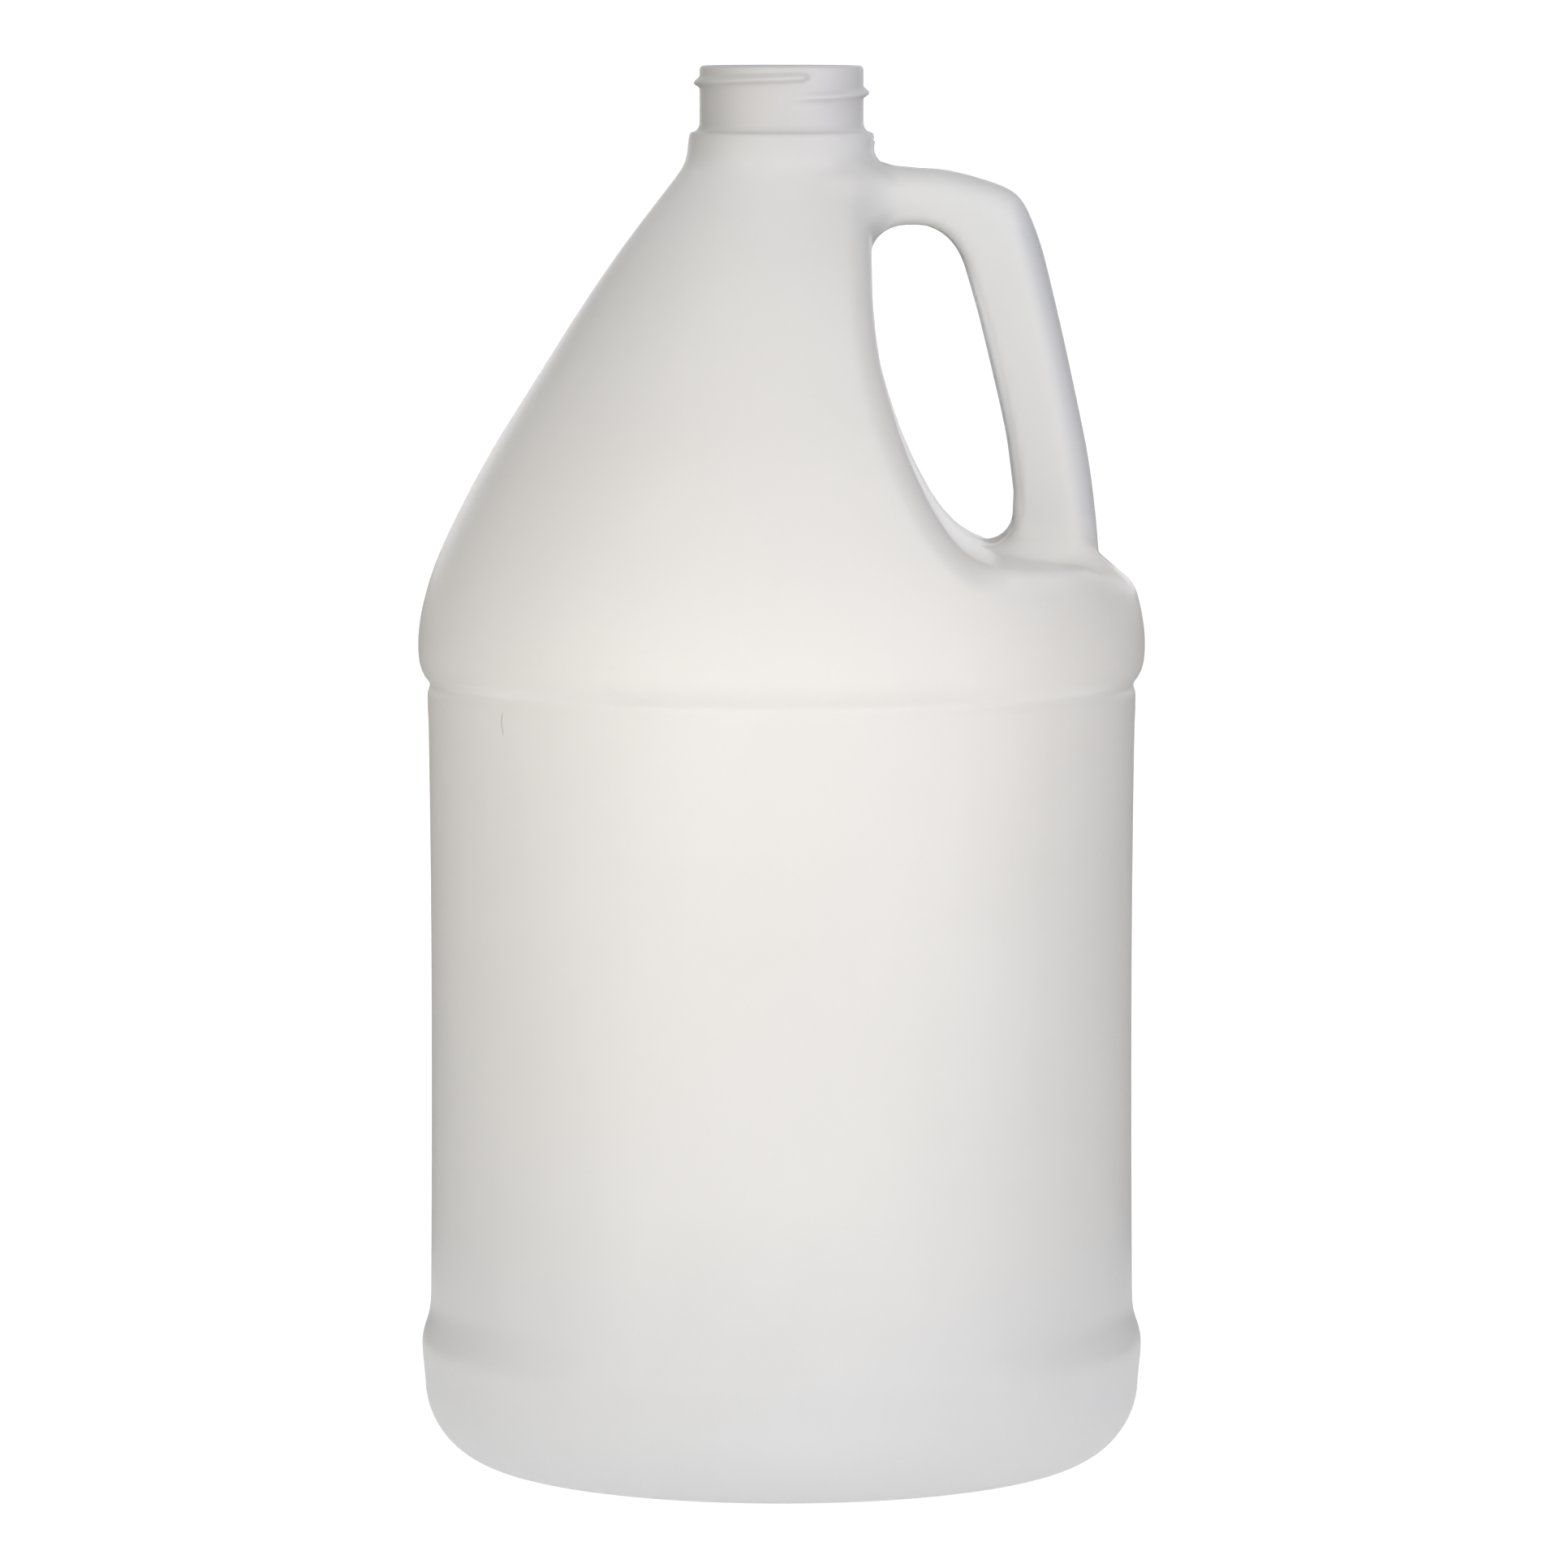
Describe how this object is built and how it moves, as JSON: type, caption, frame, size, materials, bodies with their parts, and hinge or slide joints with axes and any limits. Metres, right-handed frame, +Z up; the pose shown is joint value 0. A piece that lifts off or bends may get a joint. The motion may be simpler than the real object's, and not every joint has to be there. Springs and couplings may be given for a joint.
{
  "type": "plastic jug",
  "caption": "Round blow-moulded plastic jug with a screw neck, a cone shoulder and a hollow side handle; holds and pours a gallon of liquid; open mouth, no cap.",
  "frame": {"origin": "centre of the base, on the surface the jug stands on, on the axis of body and neck", "axes": "+Z up along the axis of body and neck, +X towards the handle, the mould's parting plane is y = 0"},
  "size_m": [0.1547, 0.1546, 0.298],
  "materials": {
    "natural_plastic": "satin, milky and slightly translucent, faint mould texture"
  },
  "bodies": {
    "root": {"jug": "natural_plastic"}
  },
  "joints": []
}
